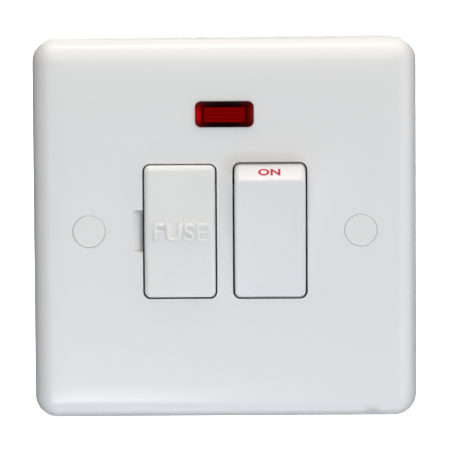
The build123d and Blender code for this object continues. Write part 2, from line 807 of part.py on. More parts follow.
# Fuse carrier: a cap with two barbed legs and a cradle that the fuse snaps into from the left
with BuildPart() as fuse_carrier:
    with BuildSketch(wall_plane(carrier_back)):
        with Locations((carrier_x, 0)):
            RectangleRounded(carrier_width, carrier_height, carrier_corner)
    extrude(amount=carrier_cap_depth)
    fillet(fuse_carrier.faces().sort_by(Axis.Y)[0].edges(), carrier_edge)
    with BuildSketch(Plane.YZ.offset(carrier_x - leg_width / 2)):
        for side in sides:
            with BuildLine():
                Polyline(
                    (carrier_back, side * leg_inner),
                    (leg_end, side * leg_inner),
                    (leg_end, side * (leg_inner + leg_thickness)),
                    (barb_y, side * barb_top),
                    (barb_y, side * (leg_inner + leg_thickness)),
                    (carrier_back, side * (leg_inner + leg_thickness)),
                    close=True,
                )
            make_face()
    extrude(amount=leg_width)

    # Two saddles on a spine
    cradle_bore = fuse_diameter / 2 + cradle_gap
    cradle_back = fuse_y + cradle_bore + cradle_wall
    for side in sides:
        with BuildSketch(Plane.XY.offset(side * cradle_half)):
            with Locations((carrier_x, carrier_back)):
                Rectangle(
                    2 * (cradle_bore + cradle_wall),
                    cradle_back - carrier_back,
                    align=(Align.CENTER, Align.MIN),
                )
            with Locations((carrier_x, fuse_y)):
                Circle(cradle_bore, mode=Mode.SUBTRACT)
                Rectangle(
                    cradle_bore + cradle_wall,
                    2 * cradle_lip,
                    align=(Align.MAX, Align.CENTER),
                    mode=Mode.SUBTRACT,
                )
        extrude(amount=-side * cradle_plate)
    with BuildSketch(Plane.XY.offset(-cradle_half)):
        with Locations((carrier_x + cradle_bore, carrier_back)):
            Rectangle(cradle_wall, cradle_back - carrier_back, align=(Align.MIN, Align.MIN))
    extrude(amount=2 * cradle_half)

    # Undercut for the lever
    with BuildSketch(wall_plane(face_y + notch_depth)):
        with Locations((carrier_x - carrier_width / 2, notch_z)):
            Rectangle(2 * lever_slot_depth, notch_height)
    extrude(amount=lever_slot, mode=Mode.SUBTRACT)
save(fuse_carrier, "fuse_carrier")

# Cartridge fuse: ceramic barrel and plated end caps
with BuildPart() as fuse_barrel:
    barrel_half = fuse_length / 2 - fuse_cap_wall
    with BuildSketch(Plane.XY.offset(-barrel_half)):
        with Locations((carrier_x, fuse_y)):
            Circle(fuse_diameter / 2 - fuse_cap_wall - fuse_barrel_gap)
    extrude(amount=2 * barrel_half)
save(fuse_barrel, "fuse_barrel")

with BuildPart() as fuse_end_caps:
    for side in sides:
        with BuildSketch(Plane.XY.offset(side * fuse_length / 2)):
            with Locations((carrier_x, fuse_y)):
                Circle(fuse_diameter / 2)
        extrude(amount=-side * fuse_cap_length)
        with BuildSketch(Plane.XY.offset(side * (fuse_length / 2 - fuse_cap_wall))):
            with Locations((carrier_x, fuse_y)):
                Circle(fuse_diameter / 2 - fuse_cap_wall)
        extrude(amount=-side * (fuse_cap_length - fuse_cap_wall), mode=Mode.SUBTRACT)
save(fuse_end_caps, "fuse_end_caps")

# Spring clips that the end caps push into
jaw_x = fuse_diameter / 2 + clip_gap + clip_thickness / 2
jaw_tip_y = fuse_y - fuse_diameter / 2 - clip_overreach
for name, side in (("upper", 1), ("lower", -1)):
    with BuildPart() as fuse_clip:
        with BuildSketch(Plane.XY.offset(side * clip_z - clip_width / 2)):
            with BuildLine():
                FilletPolyline(
                    (carrier_x - jaw_x - clip_flare, jaw_tip_y),
                    (carrier_x - jaw_x, jaw_tip_y + clip_flare_length),
                    (carrier_x - jaw_x, strap_y - clip_thickness / 2),
                    (carrier_x + jaw_x, strap_y - clip_thickness / 2),
                    (carrier_x + jaw_x, jaw_tip_y + clip_flare_length),
                    (carrier_x + jaw_x + clip_flare, jaw_tip_y),
                    radius=clip_bend,
                )
            trace(line_width=clip_thickness)
        extrude(amount=clip_width)
    save(fuse_clip, f"fuse_clip_{name}")

# Red lens: bevelled front, flange behind the plate and a ribbed pocket
with BuildPart() as neon_lens:
    with BuildSketch(wall_plane(inner_y)):
        with Locations((0, lens_z)):
            RectangleRounded(lens_width, lens_height, lens_corner)
    extrude(amount=plate_wall + lens_proud)
    lens_face = neon_lens.faces().sort_by(Axis.Y)[0]
    chamfer(lens_face.edges(), lens_bevel, lens_bevel_drop, reference=lens_face)
    with BuildSketch(wall_plane(inner_y + lens_flange)):
        with Locations((0, lens_z)):
            RectangleRounded(
                lens_width + 2 * lens_flange_width,
                lens_height + 2 * lens_flange_height,
                lens_corner,
            )
    extrude(amount=lens_flange)
    pocket_y = face_y - lens_proud + lens_front
    with BuildSketch(wall_plane(inner_y + lens_flange)):
        with Locations((0, lens_z)):
            RectangleRounded(lens_pocket_width, lens_pocket_height, lens_pocket_corner)
    extrude(amount=inner_y + lens_flange - pocket_y, mode=Mode.SUBTRACT)
    with BuildSketch(wall_plane(pocket_y + lens_rib)):
        with Locations((0, lens_z)):
            with GridLocations(0, lens_rib_pitch, 1, lens_rib_count):
                Rectangle(lens_pocket_width, lens_rib)
    extrude(amount=lens_rib)
save(neon_lens, "neon_lens")

# Neon lamp: a glass envelope lying across, with its pinch to the left
pinch_x = -lamp_length / 2
cavity_x = pinch_x + lamp_pinch
lamp_end = lamp_length / 2
with BuildPart() as neon_lamp:
    with BuildSketch(Plane.XY.offset(lens_z)):
        with BuildLine():
            Polyline(
                (lamp_end, lamp_y),
                (pinch_x, lamp_y),
                (pinch_x, lamp_y + lamp_radius),
                (lamp_end - lamp_radius, lamp_y + lamp_radius),
            )
            RadiusArc((lamp_end - lamp_radius, lamp_y + lamp_radius), (lamp_end, lamp_y), lamp_radius)
        make_face()
        with BuildLine():
            bulb_radius = lamp_radius - lamp_glass
            Polyline(
                (lamp_end - lamp_glass, lamp_y),
                (cavity_x, lamp_y),
                (cavity_x, lamp_y + bulb_radius),
                (lamp_end - lamp_radius, lamp_y + bulb_radius),
            )
            RadiusArc(
                (lamp_end - lamp_radius, lamp_y + bulb_radius),
                (lamp_end - lamp_glass, lamp_y),
                bulb_radius,
            )
        make_face(mode=Mode.SUBTRACT)
    revolve(axis=Axis((0, lamp_y, lens_z), (1, 0, 0)))
save(neon_lamp, "neon_lamp")

with BuildPart() as neon_electrodes:
    with BuildSketch(Plane.YZ.offset(cavity_x)):
        with Locations(*[(lamp_y, lens_z + side * electrode_offset) for side in sides]):
            Circle(electrode_radius)
    extrude(amount=electrode_length)
save(neon_electrodes, "neon_electrodes")

# Series resistor and the two wires that feed the lamp from the load terminals
resistor_x = -lamp_chamber_x - resistor_end_gap
with BuildPart() as neon_resistor:
    with BuildSketch(Plane.YZ.offset(resistor_x)):
        with Locations((lamp_y, resistor_z)):
            Circle(resistor_radius)
    extrude(amount=-resistor_length)
    fillet(neon_resistor.edges().filter_by(GeomType.CIRCLE), resistor_edge)
save(neon_resistor, "neon_resistor")

lead_x = outer_terminal_x - lead_drop
neutral_z = lens_z - electrode_offset
stub_x = pinch_x - lead_stub
leads = {
    "neon_lead_line": [
        (resistor_x - resistor_length, lamp_y, resistor_z),
        (-lead_x, lamp_y, resistor_z),
        (-lead_x, block_front_y, resistor_z),
    ],
    "neon_lead_neutral": [
        (pinch_x, lamp_y, neutral_z),
        (stub_x, lamp_y, neutral_z),
        (stub_x, lamp_y, lead_z),
        (lead_x, lamp_y, lead_z),
        (lead_x, block_front_y, lead_z),
    ],
}
for name, points in leads.items():
    with BuildPart() as lead:
        with BuildLine() as route:
            FilletPolyline(*points, radius=lead_bend)
        with BuildSketch(Plane(origin=route.line @ 0, z_dir=route.line % 0)):
            Circle(lead_radius)
        sweep(path=route.line)
        if name == "neon_lead_line":
            with BuildSketch(Plane.YZ.offset(pinch_x)):
                with Locations((lamp_y, resistor_z)):
                    Circle(lead_radius)
            extrude(amount=resistor_x - pinch_x)
    save(lead, name)
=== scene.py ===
import json
import math

import bmesh
import bpy
from mathutils import Matrix, Vector


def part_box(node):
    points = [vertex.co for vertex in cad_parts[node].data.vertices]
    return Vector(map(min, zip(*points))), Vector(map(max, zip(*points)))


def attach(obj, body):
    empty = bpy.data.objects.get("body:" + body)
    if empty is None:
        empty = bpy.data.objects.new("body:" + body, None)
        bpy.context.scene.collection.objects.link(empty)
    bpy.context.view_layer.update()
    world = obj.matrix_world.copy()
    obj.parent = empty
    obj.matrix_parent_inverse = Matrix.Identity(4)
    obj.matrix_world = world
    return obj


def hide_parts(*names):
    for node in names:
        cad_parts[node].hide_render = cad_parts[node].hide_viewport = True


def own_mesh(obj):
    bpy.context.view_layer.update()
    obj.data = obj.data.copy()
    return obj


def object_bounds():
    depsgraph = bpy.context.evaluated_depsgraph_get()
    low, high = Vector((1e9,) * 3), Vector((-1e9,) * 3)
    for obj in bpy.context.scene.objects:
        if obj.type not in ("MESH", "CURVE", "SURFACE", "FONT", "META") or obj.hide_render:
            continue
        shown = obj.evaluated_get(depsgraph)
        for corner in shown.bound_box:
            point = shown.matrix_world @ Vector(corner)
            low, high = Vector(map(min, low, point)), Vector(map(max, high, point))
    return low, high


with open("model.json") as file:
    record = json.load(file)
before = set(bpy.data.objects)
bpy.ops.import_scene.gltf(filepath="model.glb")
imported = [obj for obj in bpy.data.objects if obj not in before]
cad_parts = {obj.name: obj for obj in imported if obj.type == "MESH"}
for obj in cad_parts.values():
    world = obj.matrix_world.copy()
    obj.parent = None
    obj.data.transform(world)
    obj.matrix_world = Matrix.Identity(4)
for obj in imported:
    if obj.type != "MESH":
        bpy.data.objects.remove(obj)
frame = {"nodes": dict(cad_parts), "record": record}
cadLow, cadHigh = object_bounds()
nodes = frame["nodes"]
scene = bpy.context.scene
mm = 0.001
print("frame loaded:", len(nodes), "nodes")


def hexLinear(code):
    channels = [int(code[i:i + 2], 16) / 255 for i in (1, 3, 5)]
    return (*[c / 12.92 if c <= 0.04045 else ((c + 0.055) / 1.055) ** 2.4 for c in channels], 1.0)


def addNode(tree, kind, inputs=None, **settings):
    node = tree.nodes.new(kind)
    for name, value in settings.items():
        setattr(node, name, value)
    for socket, value in (inputs or {}).items():
        for each in value if isinstance(value, list) else [value]:
            source = each.outputs[0] if isinstance(each, bpy.types.Node) else each
            if isinstance(source, bpy.types.NodeSocket):
                tree.links.new(source, node.inputs[socket])
            else:
                node.inputs[socket].default_value = source
    return node


def startMaterial(name, colour, **sockets):
    material = bpy.data.materials.new(name)
    material.use_nodes = True
    shader = material.node_tree.nodes["Principled BSDF"]
    shader.inputs["Base Color"].default_value = hexLinear(colour)
    for socket, value in sockets.items():
        shader.inputs[socket.replace("_", " ")].default_value = value
    place = addNode(material.node_tree, "ShaderNodeTexCoord").outputs["Object"]
    return material, material.node_tree, shader, place


# moulded plastics: dense white body under a thin satin skin, with the faint ripple that the mould leaves
plastics = {"ripple": 1.2, "rippleHeight": 0.0025, "ior": 1.5}  # mm, mm


def mouldedPlastic(name, colour, roughness):
    material, tree, shader, place = startMaterial(name, colour, Roughness=roughness, IOR=plastics["ior"])
    ripple = addNode(tree, "ShaderNodeTexNoise", {
        "Vector": place, "Scale": 1 / (plastics["ripple"] * mm), "Detail": 2.0})
    skin = addNode(tree, "ShaderNodeBump", {
        "Height": ripple.outputs["Fac"], "Distance": plastics["rippleHeight"] * mm})
    tree.links.new(skin.outputs["Normal"], shader.inputs["Normal"])
    return material, tree, shader, place, skin


carrierWhite = mouldedPlastic("moulded_urea_carrier_white", "#e6e6e5", 0.3)[0]
rockerWhite = mouldedPlastic("moulded_urea_rocker_white", "#e3e3e5", 0.3)[0]
capWhite = mouldedPlastic("moulded_nylon_cap_white", "#e2e4e2", 0.4)[0]
housingWhite = mouldedPlastic("moulded_urea_housing_white", "#dad9d3", 0.5)[0]
plungerNylon = mouldedPlastic("moulded_natural_nylon", "#d8d4c6", 0.5)[0]

# the plate's own plastic, glossier: painted shade lines the windows and darkens the lever notch, most at its
# upper end, a warm painted shadow lies above the rocker, and the lower edge is rubbed grey at one place
plate = {
    "white": "#e6e6e6", "gapShade": "#242120", "shade": "#77747a", "rubbed": "#b5afa4", "rockerShadow": "#d8d6d2",
    "roughness": 0.26,
    "windowX": 10.0, "windowWidth": 16.42, "windowHeight": 30.3, "windowCorner": 1.6, "gapShadeWidth": 0.06,  # mm
    "rockerGapShade": (0.14, 0.26), "carrierGapShade": (0.04, -0.08),  # mm more below and above them
    "notchFrom": -20.6, "notchTo": -18.1, "notchZ": 0.15, "notchHeight": 9.5, "notchEnd": 0.4,  # mm
    "notchDrop": 0.6, "notchShade": 0.3, "notchLine": 0.55,
    "rockerShadowAt": (8.5, 15.2), "rockerShadowFull": (5.5, 0.4), "rockerShadowReach": (10.5, 3.3),  # mm, X and Z
    "rubAt": (32.6, -8.1, -40.8), "rubSize": (2.6, 2.0, 1.5), "rubGrain": 0.8,  # mm
}


def windowShade(tree, axes, outX, outZ):
    # painted shade: 1 inside a round-cornered window, its walls too, and 0 a little past its edge, for both
    # windows at once
    across = addNode(tree, "ShaderNodeMath", {0: outX, 1: plate["windowX"] * mm}, operation="SUBTRACT")
    atRocker = addNode(tree, "ShaderNodeMath", {0: axes["X"], 1: 0.0}, operation="GREATER_THAN")
    lower = addNode(tree, "ShaderNodeMath", {0: axes["Z"], 1: 0.0}, operation="LESS_THAN")
    more = []
    for below, above in (plate["carrierGapShade"], plate["rockerGapShade"]):
        more.append(addNode(tree, "ShaderNodeMix", {"Factor": lower, 2: above * mm, 3: below * mm}))
    widened = addNode(tree, "ShaderNodeMix", {"Factor": atRocker, 2: more[0], 3: more[1]})
    within = addNode(tree, "ShaderNodeMath", {0: outZ, 1: widened}, operation="SUBTRACT")
    aside = addNode(tree, "ShaderNodeMath", {0: across}, operation="ABSOLUTE")
    past = []
    for along, size in ((aside, plate["windowWidth"]), (within, plate["windowHeight"])):
        beyond = addNode(tree, "ShaderNodeMath", {0: along, 1: (size / 2 - plate["windowCorner"]) * mm},
                         operation="SUBTRACT")
        past.append(addNode(tree, "ShaderNodeMath", {0: beyond, 1: 0.0}, operation="MAXIMUM"))
    flat = addNode(tree, "ShaderNodeCombineXYZ", {"X": past[0], "Y": past[1]})
    reach = addNode(tree, "ShaderNodeVectorMath", {0: flat}, operation="LENGTH")
    return addNode(tree, "ShaderNodeMapRange", {
        "Value": reach.outputs["Value"], "From Min": plate["windowCorner"] * mm,
        "From Max": (plate["windowCorner"] + plate["gapShadeWidth"]) * mm, "To Min": 1.0, "To Max": 0.0})


def leverNotch(tree, axes):
    # how deep the notch is, from 0 to 1, down to the slope at its foot, and how much painted shade it takes,
    # most at its upper end
    slope = addNode(tree, "ShaderNodeMapRange", {
        "Value": axes["X"], "From Min": plate["notchFrom"] * mm, "From Max": plate["notchTo"] * mm})
    before = addNode(tree, "ShaderNodeMath", {0: axes["X"], 1: plate["notchTo"] * mm}, operation="LESS_THAN")
    ramp = addNode(tree, "ShaderNodeMath", {0: slope, 1: before}, operation="MULTIPLY")
    rise = addNode(tree, "ShaderNodeMath", {0: axes["Z"], 1: plate["notchZ"] * mm}, operation="SUBTRACT")
    out = addNode(tree, "ShaderNodeMath", {0: rise}, operation="ABSOLUTE")
    half, end = plate["notchHeight"] / 2, plate["notchEnd"]
    between = addNode(tree, "ShaderNodeMapRange", {
        "Value": out, "From Min": (half - end) * mm, "From Max": half * mm, "To Min": 1.0, "To Max": 0.0},
        interpolation_type="SMOOTHSTEP")
    depth = addNode(tree, "ShaderNodeMath", {0: ramp, 1: between}, operation="MULTIPLY")
    line = addNode(tree, "ShaderNodeMapRange", {
        "Value": rise, "From Min": (half - 2 * end) * mm, "From Max": (half - end) * mm,
        "To Min": plate["notchShade"], "To Max": plate["notchShade"] + plate["notchLine"]})
    shade = addNode(tree, "ShaderNodeMath", {0: depth, 1: line}, operation="MULTIPLY")
    return depth, shade


def paintedRockerShadow(tree, axes):
    # painted shadow, warm and soft, on the face above the rocker's proud top
    fades = []
    for name, at, full, reach in zip("XZ", plate["rockerShadowAt"], plate["rockerShadowFull"], plate["rockerShadowReach"]):
        off = addNode(tree, "ShaderNodeMath", {0: axes[name], 1: at * mm}, operation="SUBTRACT")
        out = addNode(tree, "ShaderNodeMath", {0: off}, operation="ABSOLUTE")
        fades.append(addNode(tree, "ShaderNodeMapRange", {
            "Value": out, "From Min": full * mm, "From Max": reach * mm, "To Min": 1.0, "To Max": 0.0},
            interpolation_type="SMOOTHSTEP"))
    return addNode(tree, "ShaderNodeMath", {0: fades[0], 1: fades[1]}, operation="MULTIPLY")


def rubMark(tree, place):
    # a soft ball round the mark, broken up by noise
    centred = addNode(tree, "ShaderNodeMapping", {
        "Vector": place, "Location": Vector([-a / s for a, s in zip(plate["rubAt"], plate["rubSize"])]),
        "Scale": Vector([1 / (s * mm) for s in plate["rubSize"]])})
    ball = addNode(tree, "ShaderNodeTexGradient", {"Vector": centred}, gradient_type="SPHERICAL")
    grain = addNode(tree, "ShaderNodeTexNoise", {
        "Vector": place, "Scale": 1 / (plate["rubGrain"] * mm), "Detail": 4.0})
    return addNode(tree, "ShaderNodeMath", {0: ball.outputs["Fac"], 1: grain.outputs["Fac"]},
                   operation="MULTIPLY")


def plateLook():
    material, tree, shader, place, skin = mouldedPlastic(
        "moulded_urea_plate_white", plate["white"], plate["roughness"])
    axes = addNode(tree, "ShaderNodeSeparateXYZ", {"Vector": place}).outputs
    outX, outZ = [addNode(tree, "ShaderNodeMath", {0: axes[name]}, operation="ABSOLUTE") for name in "XZ"]
    depth, shade = leverNotch(tree, axes)
    hollow = addNode(tree, "ShaderNodeBump", {"Height": depth, "Distance": plate["notchDrop"] * mm},
                     invert=True)
    tree.links.new(hollow.outputs["Normal"], skin.inputs["Normal"])
    windowShadeMask = windowShade(tree, axes, outX, outZ)
    besideNotch = addNode(tree, "ShaderNodeMath", {0: 1.0, 1: depth}, operation="SUBTRACT")
    gapShade = addNode(tree, "ShaderNodeMath", {0: windowShadeMask, 1: besideNotch}, operation="MULTIPLY")
    # laid into the colour: painted shadow above the rocker, the real rub mark, painted shade in the notch and
    # along the windows
    stains = {"rockerShadow": paintedRockerShadow(tree, axes), "rubbed": rubMark(tree, place), "shade": shade, "gapShade": gapShade}
    colour = hexLinear(plate["white"])
    for stain, amount in stains.items():
        stained = addNode(tree, "ShaderNodeMix", {"Factor": amount, 6: colour, 7: hexLinear(plate[stain])},
                          data_type="RGBA")
        colour = stained.outputs[2]
    tree.links.new(colour, shader.inputs["Base Color"])
    return material


plateWhite = plateLook()

# red polycarbonate, polished in the mould, with painted light and shade for what shows through it: the ribbed
# window before the lamp is dull red in painted stripes, painted shade makes the walls round it almost black,
# and painted light makes the ends glow, the left end brighter than the right
lens = {
    "z": 26.2, "windowWidth": 9.0, "windowHeight": 3.3, "wall": 0.7, "soft": 0.45, "endSoft": 0.9,  # mm
    "endHeight": 3.0, "endFade": 2.2, "wallLightAt": 3.6, "wallLightSoft": 3.0, "ribPitch": 0.9,  # mm
    "window": "#840302", "walls": "#130001", "wallLight": "#360102", "leftEndLight": "#b4080a", "rightEndLight": "#720303",
    "endCorner": 0.25, "ribDark": 0.7, "ribLight": 1.05,  # shares of the full colour
    "roughness": 0.15, "shine": 0.04,
}


def redLens():
    material, tree, shader, place = startMaterial(
        "moulded_red_polycarbonate", lens["window"], Roughness=lens["roughness"],
        Specular_IOR_Level=lens["shine"])
    axes = addNode(tree, "ShaderNodeSeparateXYZ", {"Vector": place}).outputs
    rise = addNode(tree, "ShaderNodeMath", {0: axes["Z"], 1: lens["z"] * mm}, operation="SUBTRACT")
    outX, outZ = [addNode(tree, "ShaderNodeMath", {0: along}, operation="ABSOLUTE")
                  for along in (axes["X"], rise)]
    edgeX, edgeZ = lens["windowWidth"] / 2, lens["windowHeight"] / 2
    steps = {  # along what, where in mm, how soft, from, to
        "windowX": (outX, edgeX, lens["soft"], 1.0, 0.0),
        "windowZ": (outZ, edgeZ, lens["soft"], 1.0, 0.0),
        "ends": (outX, edgeX + lens["wall"], lens["endSoft"], 0.0, 1.0),
        "endHeight": (outZ, lens["endHeight"] / 2, lens["endFade"], 1.0, lens["endCorner"]),
        "wallLight": (outX, lens["wallLightAt"], lens["wallLightSoft"], 0.0, 1.0),
    }
    fades = {}
    for name, (out, start, soft, toMin, toMax) in steps.items():
        fades[name] = addNode(tree, "ShaderNodeMapRange", {
            "Value": out, "From Min": (start - soft / 2) * mm, "From Max": (start + soft / 2) * mm,
            "To Min": toMin, "To Max": toMax}, interpolation_type="SMOOTHSTEP")
    inside = addNode(tree, "ShaderNodeMath", {0: fades["windowX"], 1: fades["windowZ"]}, operation="MULTIPLY")
    # painted stripes of light and shade across the ribs
    ribs = addNode(tree, "ShaderNodeTexWave", {  # a wave repeats every pi / 10 at scale 1
        "Vector": place, "Scale": 0.1 * math.pi / (lens["ribPitch"] * mm)}, bands_direction="Z")
    lit = addNode(tree, "ShaderNodeMapRange", {
        "Value": ribs.outputs["Fac"], "To Min": lens["ribDark"], "To Max": lens["ribLight"]})
    window = addNode(tree, "ShaderNodeMath", {0: inside, 1: lit}, operation="MULTIPLY")
    # painted shade on the walls, lighter towards the ends
    walls = addNode(tree, "ShaderNodeMix", {
        "Factor": fades["wallLight"], 6: hexLinear(lens["walls"]), 7: hexLinear(lens["wallLight"])}, data_type="RGBA")
    core = addNode(tree, "ShaderNodeMix", {
        "Factor": window, 6: walls.outputs[2], 7: hexLinear(lens["window"])}, data_type="RGBA")
    rightward = addNode(tree, "ShaderNodeMath", {0: axes["X"], 1: 0.0}, operation="GREATER_THAN")
    # painted light at the ends, brighter at the left end than the right
    ends = addNode(tree, "ShaderNodeMix", {
        "Factor": rightward, 6: hexLinear(lens["leftEndLight"]), 7: hexLinear(lens["rightEndLight"])}, data_type="RGBA")
    atLitEnds = addNode(tree, "ShaderNodeMath", {0: fades["ends"], 1: fades["endHeight"]}, operation="MULTIPLY")
    tint = addNode(tree, "ShaderNodeMix", {"Factor": atLitEnds, 6: core.outputs[2], 7: ends.outputs[2]},
                   data_type="RGBA")
    tree.links.new(tint.outputs[2], shader.inputs["Base Color"])
    return material


lensRed = redLens()


def mottled(name, colour, patch, grain, **sockets):
    material, tree, shader, place = startMaterial(name, colour, **sockets)
    cloud = addNode(tree, "ShaderNodeTexNoise", {"Vector": place, "Scale": 1 / (grain * mm), "Detail": 3.0})
    tint = addNode(tree, "ShaderNodeMix", {
        "Factor": cloud.outputs["Fac"], 6: hexLinear(colour), 7: hexLinear(patch)}, data_type="RGBA")
    tree.links.new(tint.outputs[2], shader.inputs["Base Color"])
    return material, tree, shader, place


# blown lamp glass: clear, with a bright rim and slow waves in the wall
lampGlass = mottled("blown_lamp_glass", "#f6f8f4", "#e8ece6", 2.0,
                    Roughness=0.02, IOR=1.5, Transmission_Weight=1.0)[0]

# glazed ceramic barrel of the fuse: cream white, cloudy and wet looking
fuseCeramic = mottled("glazed_fuse_ceramic", "#f0ebde", "#dcd4c2", 1.5, Roughness=0.18, IOR=1.55)[0]

# printed ink on the rocker: red, a little uneven where the pad laid it down, duller than the plastic
inkRed = mottled("pad_printed_red_ink", "#b92a3c", "#cb3347", 0.3, Roughness=0.6, Specular_IOR_Level=0.2)[0]

# lacquered resistor body: tan and slightly shiny, with painted rings along it
resistor = {"tan": "#b99a6a", "patch": "#ad8c5c", "grain": 0.6, "roughness": 0.3,
            "rings": ("#6b3a1c", "#1f1f1f", "#d8c030", "#a8843a"), "ringStep": 0.2, "ringShare": 0.08}


def lacqueredResistor():
    material, tree, shader, place = mottled("lacquered_resistor_body", resistor["tan"], resistor["patch"],
                                            resistor["grain"], Roughness=resistor["roughness"])
    low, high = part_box("neon_resistor")
    axes = addNode(tree, "ShaderNodeSeparateXYZ", {"Vector": place}).outputs
    along = addNode(tree, "ShaderNodeMapRange", {"Value": axes["X"], "From Min": low.x, "From Max": high.x})
    colour = shader.inputs["Base Color"].links[0].from_socket
    for count, ring in enumerate(resistor["rings"], 1):
        ringed = addNode(tree, "ShaderNodeMath", {
            0: along, 1: resistor["ringStep"] * count, 2: resistor["ringShare"] / 2}, operation="COMPARE")
        colour = addNode(tree, "ShaderNodeMix", {"Factor": ringed, 6: colour, 7: hexLinear(ring)},
                         data_type="RGBA").outputs[2]
    tree.links.new(colour, shader.inputs["Base Color"])
    return material


resistorLacquer = lacqueredResistor()

# worked metals: fine drawing or rolling lines spread the highlight along one direction
metals = {"lineSpacing": 0.12, "lineLength": 3.0, "spread": 0.12}  # mm, mm, roughness


def workedMetal(name, colour, roughness, along):
    material, tree, shader, place = startMaterial(name, colour, Metallic=1.0)
    fine, slow = 1 / (metals["lineSpacing"] * mm), 1 / (metals["lineLength"] * mm)
    stretched = addNode(tree, "ShaderNodeMapping", {
        "Vector": place, "Scale": Vector([slow if axis == along else fine for axis in "XYZ"])})
    lines = addNode(tree, "ShaderNodeTexNoise", {"Vector": stretched, "Scale": 1.0, "Detail": 3.0})
    rough = addNode(tree, "ShaderNodeMapRange", {
        "Value": lines.outputs["Fac"], "To Min": roughness - metals["spread"] / 2,
        "To Max": roughness + metals["spread"] / 2})
    tree.links.new(rough.outputs["Result"], shader.inputs["Roughness"])
    return material


drawnBrass = workedMetal("drawn_brass_bar", "#c9a25a", 0.34, "Z")
turnedBrass = workedMetal("turned_brass_screw", "#bfa873", 0.3, "X")
rolledBronze = workedMetal("rolled_phosphor_bronze", "#b9824f", 0.32, "X")
nickelPlate = workedMetal("nickel_plated_brass_cap", "#c9c6be", 0.2, "X")
contactSilver = workedMetal("contact_silver", "#dedbd3", 0.25, "Z")
zincSteel = workedMetal("zinc_plated_steel", "#b9bcc0", 0.3, "Z")
springSteel = workedMetal("drawn_spring_steel", "#8c8d90", 0.35, "Z")
tinnedWire = workedMetal("tinned_copper_wire", "#c3c2be", 0.3, "X")

slotLooks = {
    "plate_plastic": plateWhite, "cap_plastic": capWhite, "rocker_plastic": rockerWhite,
    "carrier_plastic": carrierWhite, "housing_plastic": housingWhite, "plunger_plastic": plungerNylon,
    "lens_plastic": lensRed, "lamp_glass": lampGlass, "brass": drawnBrass, "screw_brass": turnedBrass,
    "plated_brass": nickelPlate, "clip_bronze": rolledBronze, "silver": contactSilver,
    "plated_steel": zincSteel, "spring_steel": springSteel, "tinned_wire": tinnedWire,
    "fuse_ceramic": fuseCeramic, "resistor_body": resistorLacquer,
}
for part in frame["record"]["subparts"]:
    mesh = nodes[part["node"]].data
    mesh.materials.clear()
    mesh.materials.append(slotLooks[part["material_slot"]])
print("materials set on the solids:", len(slotLooks))


def plainPiece(name, mesh, body, material):
    piece = bpy.data.objects.new(name, mesh)
    scene.collection.objects.link(piece)
    mesh.materials.clear()
    mesh.materials.append(material)
    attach(piece, body)
    return piece


# the plate's face falls away a little towards its edges, so it is cut into strips there and let down
crown = {
    "from": 34.5, "to": 42.5, "drop": 0.42, "corner": 6.0, "behind": -4.0, "merge": 0.001,  # mm
    "strips": 14, "sharp": 30.0, "level": 0.99999, "facing": 0.7,  # count, degrees, cosines
}


def crownedPlate():
    moulded = bmesh.new()
    moulded.from_mesh(nodes["front_plate"].data)
    bmesh.ops.remove_doubles(moulded, verts=moulded.verts, dist=crown["merge"] * mm)
    for strip in range(crown["strips"]):
        out = (crown["from"] + (crown["to"] - crown["from"]) * strip / crown["strips"]) * mm
        for across in ((1, 0, 0), (-1, 0, 0), (0, 0, 1), (0, 0, -1)):
            bmesh.ops.bisect_plane(moulded, geom=moulded.verts[:] + moulded.edges[:] + moulded.faces[:],
                                   plane_co=Vector(across) * out, plane_no=across)
    for v in moulded.verts:
        if v.co.y > crown["behind"] * mm:
            continue
        far, near = max(abs(v.co.x), abs(v.co.z)) / mm, min(abs(v.co.x), abs(v.co.z)) / mm
        far += max(0.0, 1 - (far - near) / crown["corner"]) ** 3 * crown["corner"] / 6  # a soft maximum
        t = min(max((far - crown["from"]) / (crown["to"] - crown["from"]), 0.0), 1.0)
        v.co.y += t * t * (3 - 2 * t) * crown["drop"] * mm
    mesh = bpy.data.meshes.new("front_plate_crowned")
    moulded.to_mesh(mesh)
    moulded.free()
    mesh.shade_smooth()
    mesh.set_sharp_from_angle(angle=math.radians(crown["sharp"]))
    level = {}  # corners of the faces that are quite flat, which keep their shading flat up to the roundings
    for face in mesh.polygons:
        if abs(face.normal.y) > crown["level"]:
            straight = Vector((0.0, math.copysign(1.0, face.normal.y), 0.0))
            level.update({corner: straight for corner in face.vertices})
    normals = [normal.vector.copy() for normal in mesh.corner_normals]
    for face in mesh.polygons:
        for loop in face.loop_indices:
            straight = level.get(mesh.loops[loop].vertex_index)
            if straight and straight.dot(face.normal) > crown["facing"]:
                normals[loop] = straight
    mesh.normals_split_custom_set(normals)
    piece = plainPiece("front_plate_crowned", mesh, "unit", plateWhite)
    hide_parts("front_plate")
    return piece


print("plate crowned:", len(crownedPlate().data.polygons), "faces")


# what Geometry Nodes make is set at its places and turned into a plain mesh
def nodesMesh(name, tree, places, values, sharp=35.0):
    points = bpy.data.meshes.new(name + "Places")
    points.from_pydata([[c * mm for c in place] for place in places], [], [])
    holder = bpy.data.objects.new(name + "Places", points)
    scene.collection.objects.link(holder)
    modifier = holder.modifiers.new(tree.name, "NODES")
    modifier.node_group = tree
    for socket in tree.interface.items_tree:
        if socket.name in values:
            modifier[socket.identifier] = values[socket.name]
    mesh = bpy.data.meshes.new_from_object(holder.evaluated_get(bpy.context.evaluated_depsgraph_get()))
    holder.modifiers.remove(modifier)
    bpy.data.objects.remove(holder)
    mesh.shade_smooth()
    mesh.set_sharp_from_angle(angle=math.radians(sharp))
    return mesh


# screws: a turned blank has its slot cut and its thread rolled on, and is set at every place
rolling = {
    "blankSteps": 40, "threadSteps": 24, "toothCorners": 3,  # counts, the first two for each turn
    "pointShare": 0.65, "merge": 0.001,  # share of the root radius, mm
}


